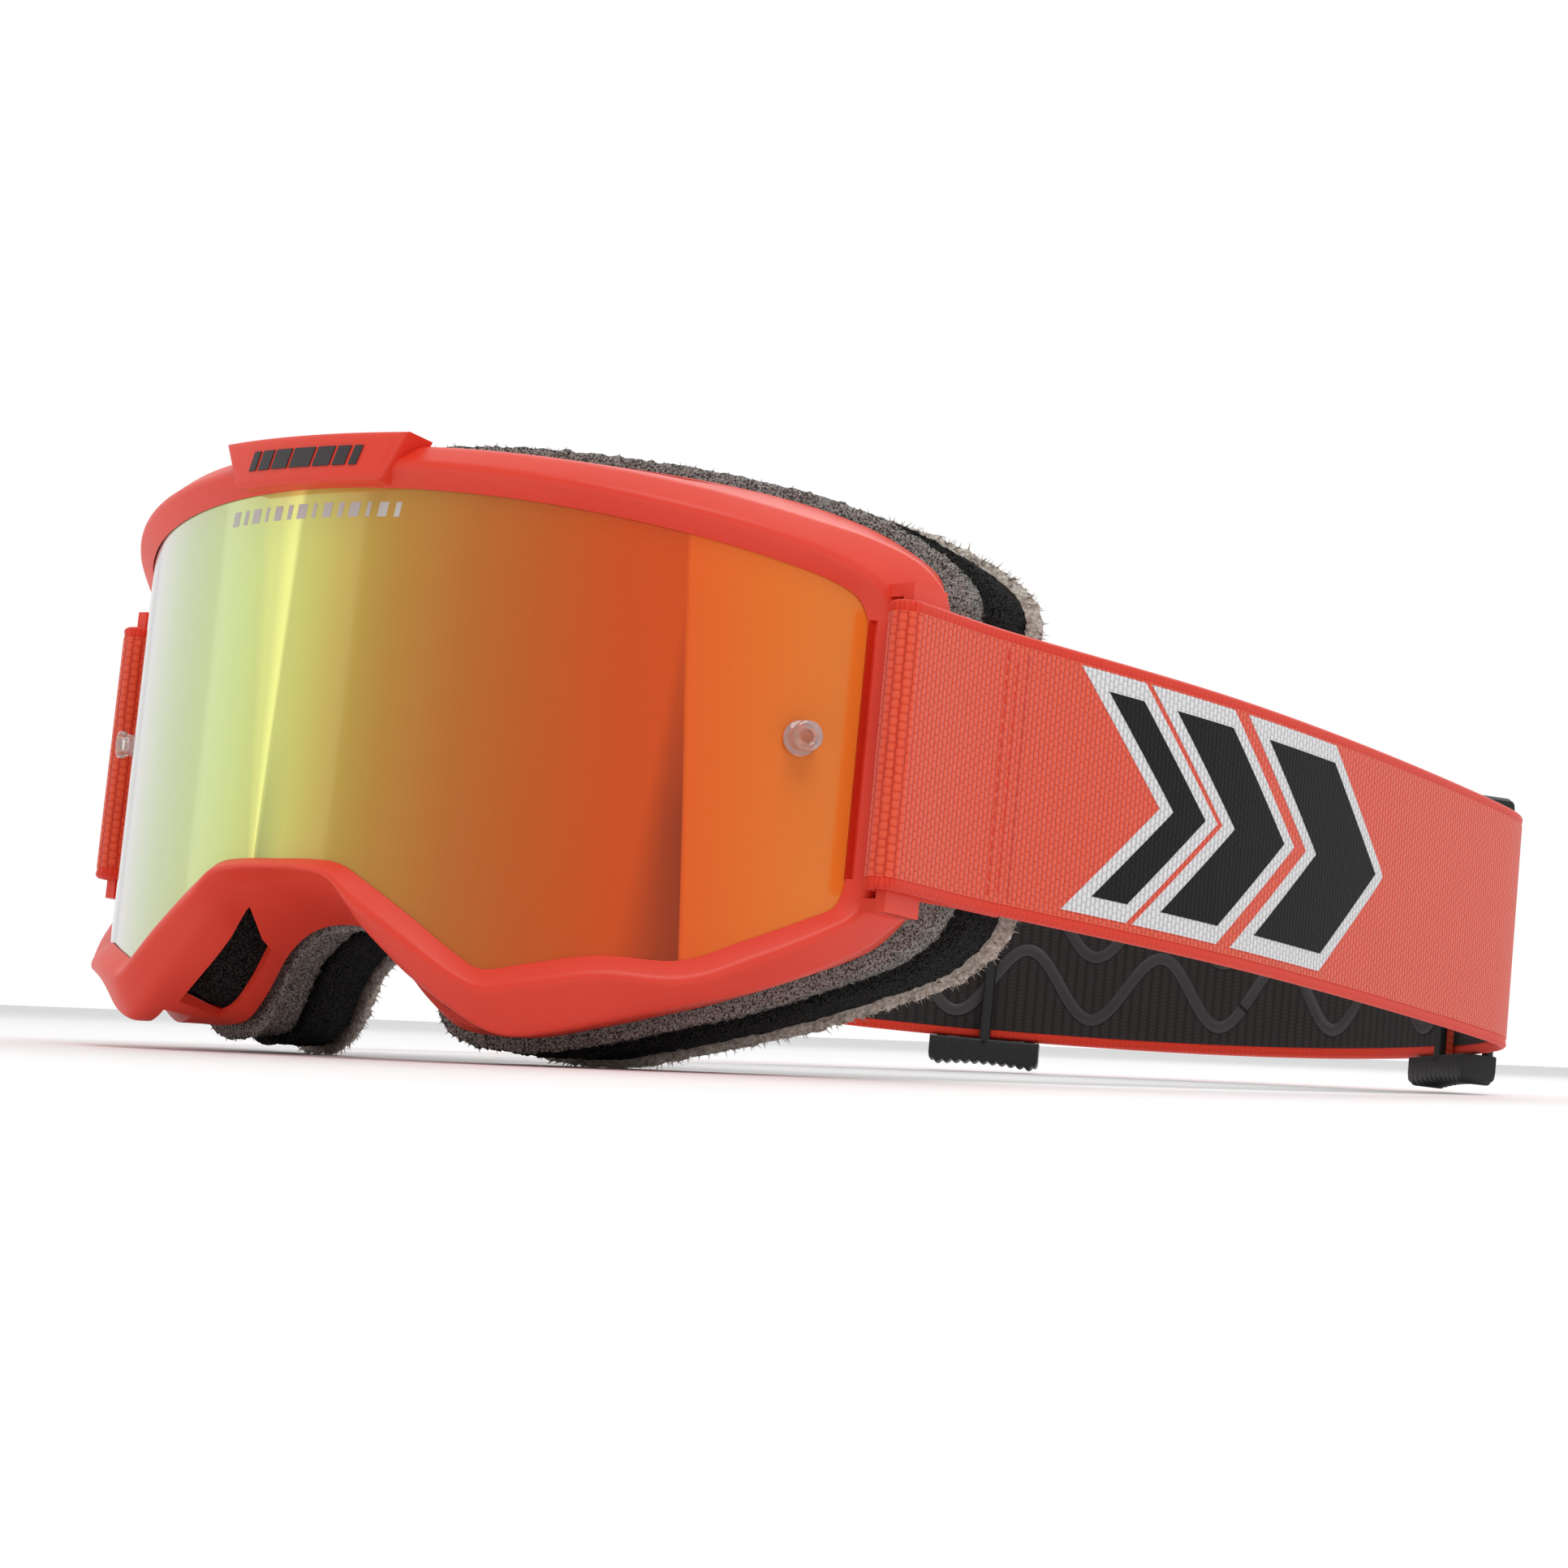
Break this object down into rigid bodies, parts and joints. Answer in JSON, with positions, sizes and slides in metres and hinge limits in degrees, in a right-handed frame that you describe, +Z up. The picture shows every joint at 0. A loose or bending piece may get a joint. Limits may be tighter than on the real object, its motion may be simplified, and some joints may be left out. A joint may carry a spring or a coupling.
{
  "type": "motorcycle goggles",
  "caption": "Off-road motorcycle goggles with a cylindrical mirrored lens, three-layer face foam and a wide elastic strap with two sliders.",
  "frame": {"origin": "middle of the object's box at the surface it rests on", "axes": "+X to the side of the wearer's left hand seen from the front, +Y from the lens to the back of the strap, +Z up off the table"},
  "size_m": [0.2068, 0.3346, 0.1096],
  "materials": {
    "frame_shell": "satin moulded polyurethane, red-orange",
    "mirror_lens": "polycarbonate with an orange-to-lime mirror coat",
    "badge": null,
    "clear_post": "clear moulded",
    "grey_foam": "open-cell foam, dark grey",
    "black_foam": "open-cell foam, black",
    "fleece": "brushed fleece, cream",
    "filter_foam": "coarse filter foam, black",
    "webbing": "ribbed elastic webbing, red-orange outside and charcoal inside",
    "buckle": "black moulded plastic"
  },
  "bodies": {
    "goggles": {"goggle_frame": "frame_shell", "lens": "mirror_lens", "brow_plate": "frame_shell", "brow_badge": "badge", "tear_off_post_left": "clear_post", "tear_off_post_right": "clear_post", "foam_base": "grey_foam", "foam_middle": "black_foam", "face_fleece": "fleece", "vent_foam_lobe_left": "filter_foam", "vent_foam_lobe_right": "filter_foam", "vent_foam_nose_left": "filter_foam", "vent_foam_nose_right": "filter_foam", "vent_foam_top_left": "filter_foam", "vent_foam_top_right": "filter_foam", "strap_anchor_left": "webbing", "strap_anchor_right": "webbing", "strap_side_left": "webbing", "strap_side_right": "webbing"},
    "strap_back": {"strap_rear": "webbing", "strap_tail_left": "webbing", "strap_tail_right": "webbing"},
    "left_slider": {"slider_left": "buckle"},
    "right_slider": {"slider_right": "buckle"}
  },
  "joints": [
    {"name": "strap_length", "type": "slide", "parent": "goggles", "child": "strap_back", "axis": [0, 0.9956, -0.0939], "range_m": [-0.015, 0.045], "deforming": ["strap_side_left", "strap_side_right"]},
    {"name": "left_slider_travel", "type": "hinge", "parent": "strap_back", "child": "left_slider", "pos_m": [0, 0.04851, 0.04194], "axis": [0, 0.0939, 0.9956], "range_deg": [-23, 8], "deforming": ["strap_tail_left"]},
    {"name": "right_slider_travel", "type": "hinge", "parent": "strap_back", "child": "right_slider", "pos_m": [0, 0.04851, 0.04194], "axis": [0, 0.0939, 0.9956], "range_deg": [-8, 23], "deforming": ["strap_tail_right"]}
  ],
  "couplings": [
    {"joint": "left_slider_travel", "follows": "strap_length", "rad_per_m": -8.547},
    {"joint": "right_slider_travel", "follows": "strap_length", "rad_per_m": 8.547}
  ]
}
